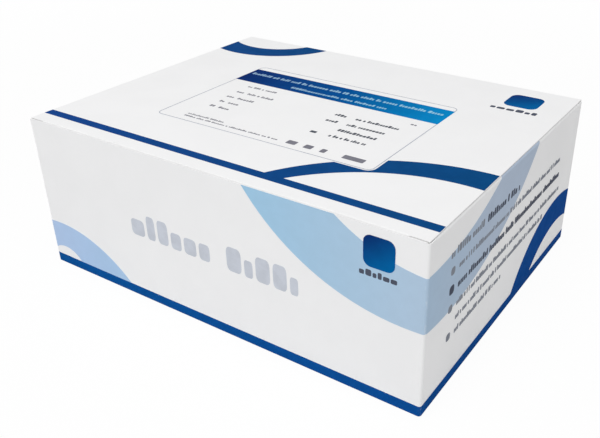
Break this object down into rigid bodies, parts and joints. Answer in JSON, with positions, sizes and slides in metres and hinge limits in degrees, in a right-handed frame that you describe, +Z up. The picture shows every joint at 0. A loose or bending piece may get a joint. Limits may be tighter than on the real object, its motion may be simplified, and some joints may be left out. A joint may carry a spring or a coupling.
{
  "type": "test kit carton",
  "caption": "Closed folding carton of a rapid test kit, with a tuck-in lid hinged at the rear and the kit's pouches, buffer tubes and leaflet inside.",
  "frame": {"origin": "middle of the carton's foot print, on the surface it stands on", "axes": "+X to the right along the long front wall, +Y from the front wall to the rear wall, +Z up"},
  "size_m": [0.2292, 0.1782, 0.0851],
  "materials": {
    "printed_board": "white clay-coated boxboard with a satin varnish",
    "pale_blue_print": "satin printed ink",
    "dark_blue_print": "satin printed ink",
    "header_print": "satin printed ink",
    "grey_print": "satin printed ink",
    "rack_board": "plain matt boxboard",
    "leaflet_paper": "matt paper",
    "pouch_foil": "satin laminated foil",
    "tube_plastic": "translucent satin"
  },
  "bodies": {
    "carton": {"carton_body": "printed_board", "wall_bands_pale": "pale_blue_print", "wall_bands_dark": "dark_blue_print", "tube_rack": "rack_board", "leaflet": "leaflet_paper", "pouch_01": "pouch_foil", "pouch_02": "pouch_foil", "pouch_03": "pouch_foil", "pouch_04": "pouch_foil", "pouch_05": "pouch_foil", "pouch_06": "pouch_foil", "pouch_07": "pouch_foil", "pouch_08": "pouch_foil", "pouch_09": "pouch_foil", "pouch_10": "pouch_foil", "pouch_11": "pouch_foil", "pouch_12": "pouch_foil", "pouch_13": "pouch_foil", "pouch_14": "pouch_foil", "pouch_15": "pouch_foil", "pouch_16": "pouch_foil", "pouch_17": "pouch_foil", "pouch_18": "pouch_foil", "pouch_19": "pouch_foil", "pouch_20": "pouch_foil", "buffer_tube_01": "tube_plastic", "buffer_tube_02": "tube_plastic", "buffer_tube_03": "tube_plastic", "buffer_tube_04": "tube_plastic", "buffer_tube_05": "tube_plastic", "buffer_tube_06": "tube_plastic", "buffer_tube_07": "tube_plastic", "buffer_tube_08": "tube_plastic", "buffer_tube_09": "tube_plastic", "buffer_tube_10": "tube_plastic", "buffer_tube_11": "tube_plastic", "buffer_tube_12": "tube_plastic", "buffer_tube_13": "tube_plastic", "buffer_tube_14": "tube_plastic", "buffer_tube_15": "tube_plastic", "buffer_tube_16": "tube_plastic", "buffer_tube_17": "tube_plastic", "buffer_tube_18": "tube_plastic", "buffer_tube_19": "tube_plastic", "buffer_tube_20": "tube_plastic"},
    "lid": {"lid": "printed_board", "lid_bands": "dark_blue_print", "label_header": "header_print", "label_border": "grey_print"}
  },
  "joints": [
    {"name": "lid_hinge", "type": "hinge", "parent": "carton", "child": "lid", "pos_m": [0, 0.08855, 0.08455], "axis": [-1, 0, 0], "range_deg": [0, 180]}
  ]
}
